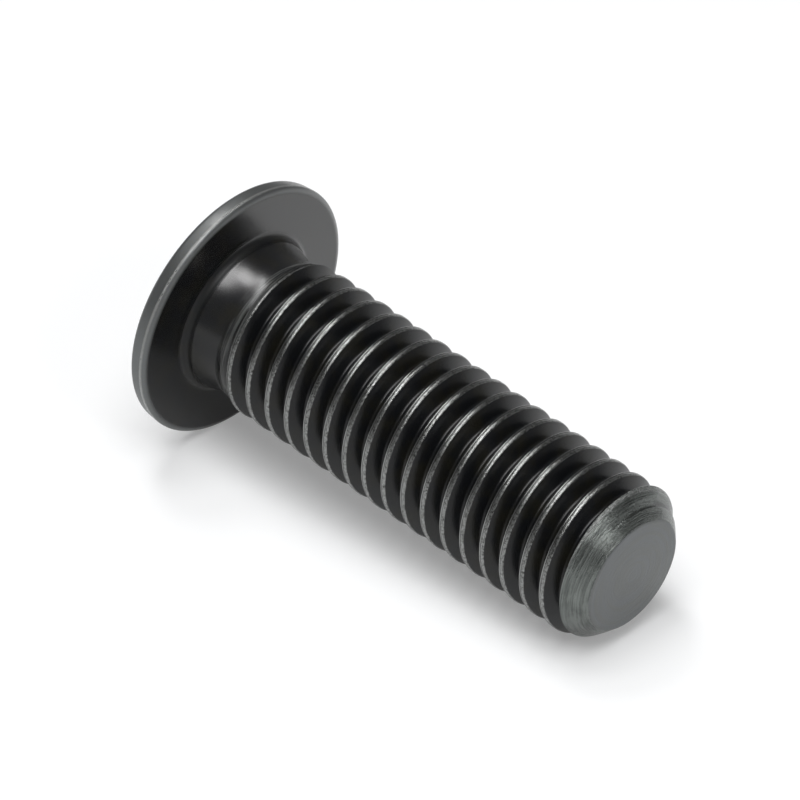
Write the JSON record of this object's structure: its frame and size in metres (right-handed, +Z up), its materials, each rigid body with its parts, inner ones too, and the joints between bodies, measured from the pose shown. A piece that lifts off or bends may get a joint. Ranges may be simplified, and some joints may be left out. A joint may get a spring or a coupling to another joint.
{
  "type": "machine screw",
  "caption": "Black metric machine screw with a thin crowned head, plain neck, coarse right-hand thread and chamfered flat tip, lying on its side.",
  "frame": {"origin": "centre of the head's bearing face, on the screw's axis", "axes": "+Z up from the surface it lies on; the screw's axis lies in the XZ plane and its tip points to +X, leaning down by 6.2 degrees because the head is wider than the thread"},
  "size_m": [0.0275, 0.013, 0.0131],
  "materials": {
    "blackened_steel": "black oxide over rolled steel, satin, worn to bare grey along the thread crests and streaked by the lathe at the tip"
  },
  "bodies": {
    "root": {"screw": "blackened_steel"}
  },
  "joints": []
}
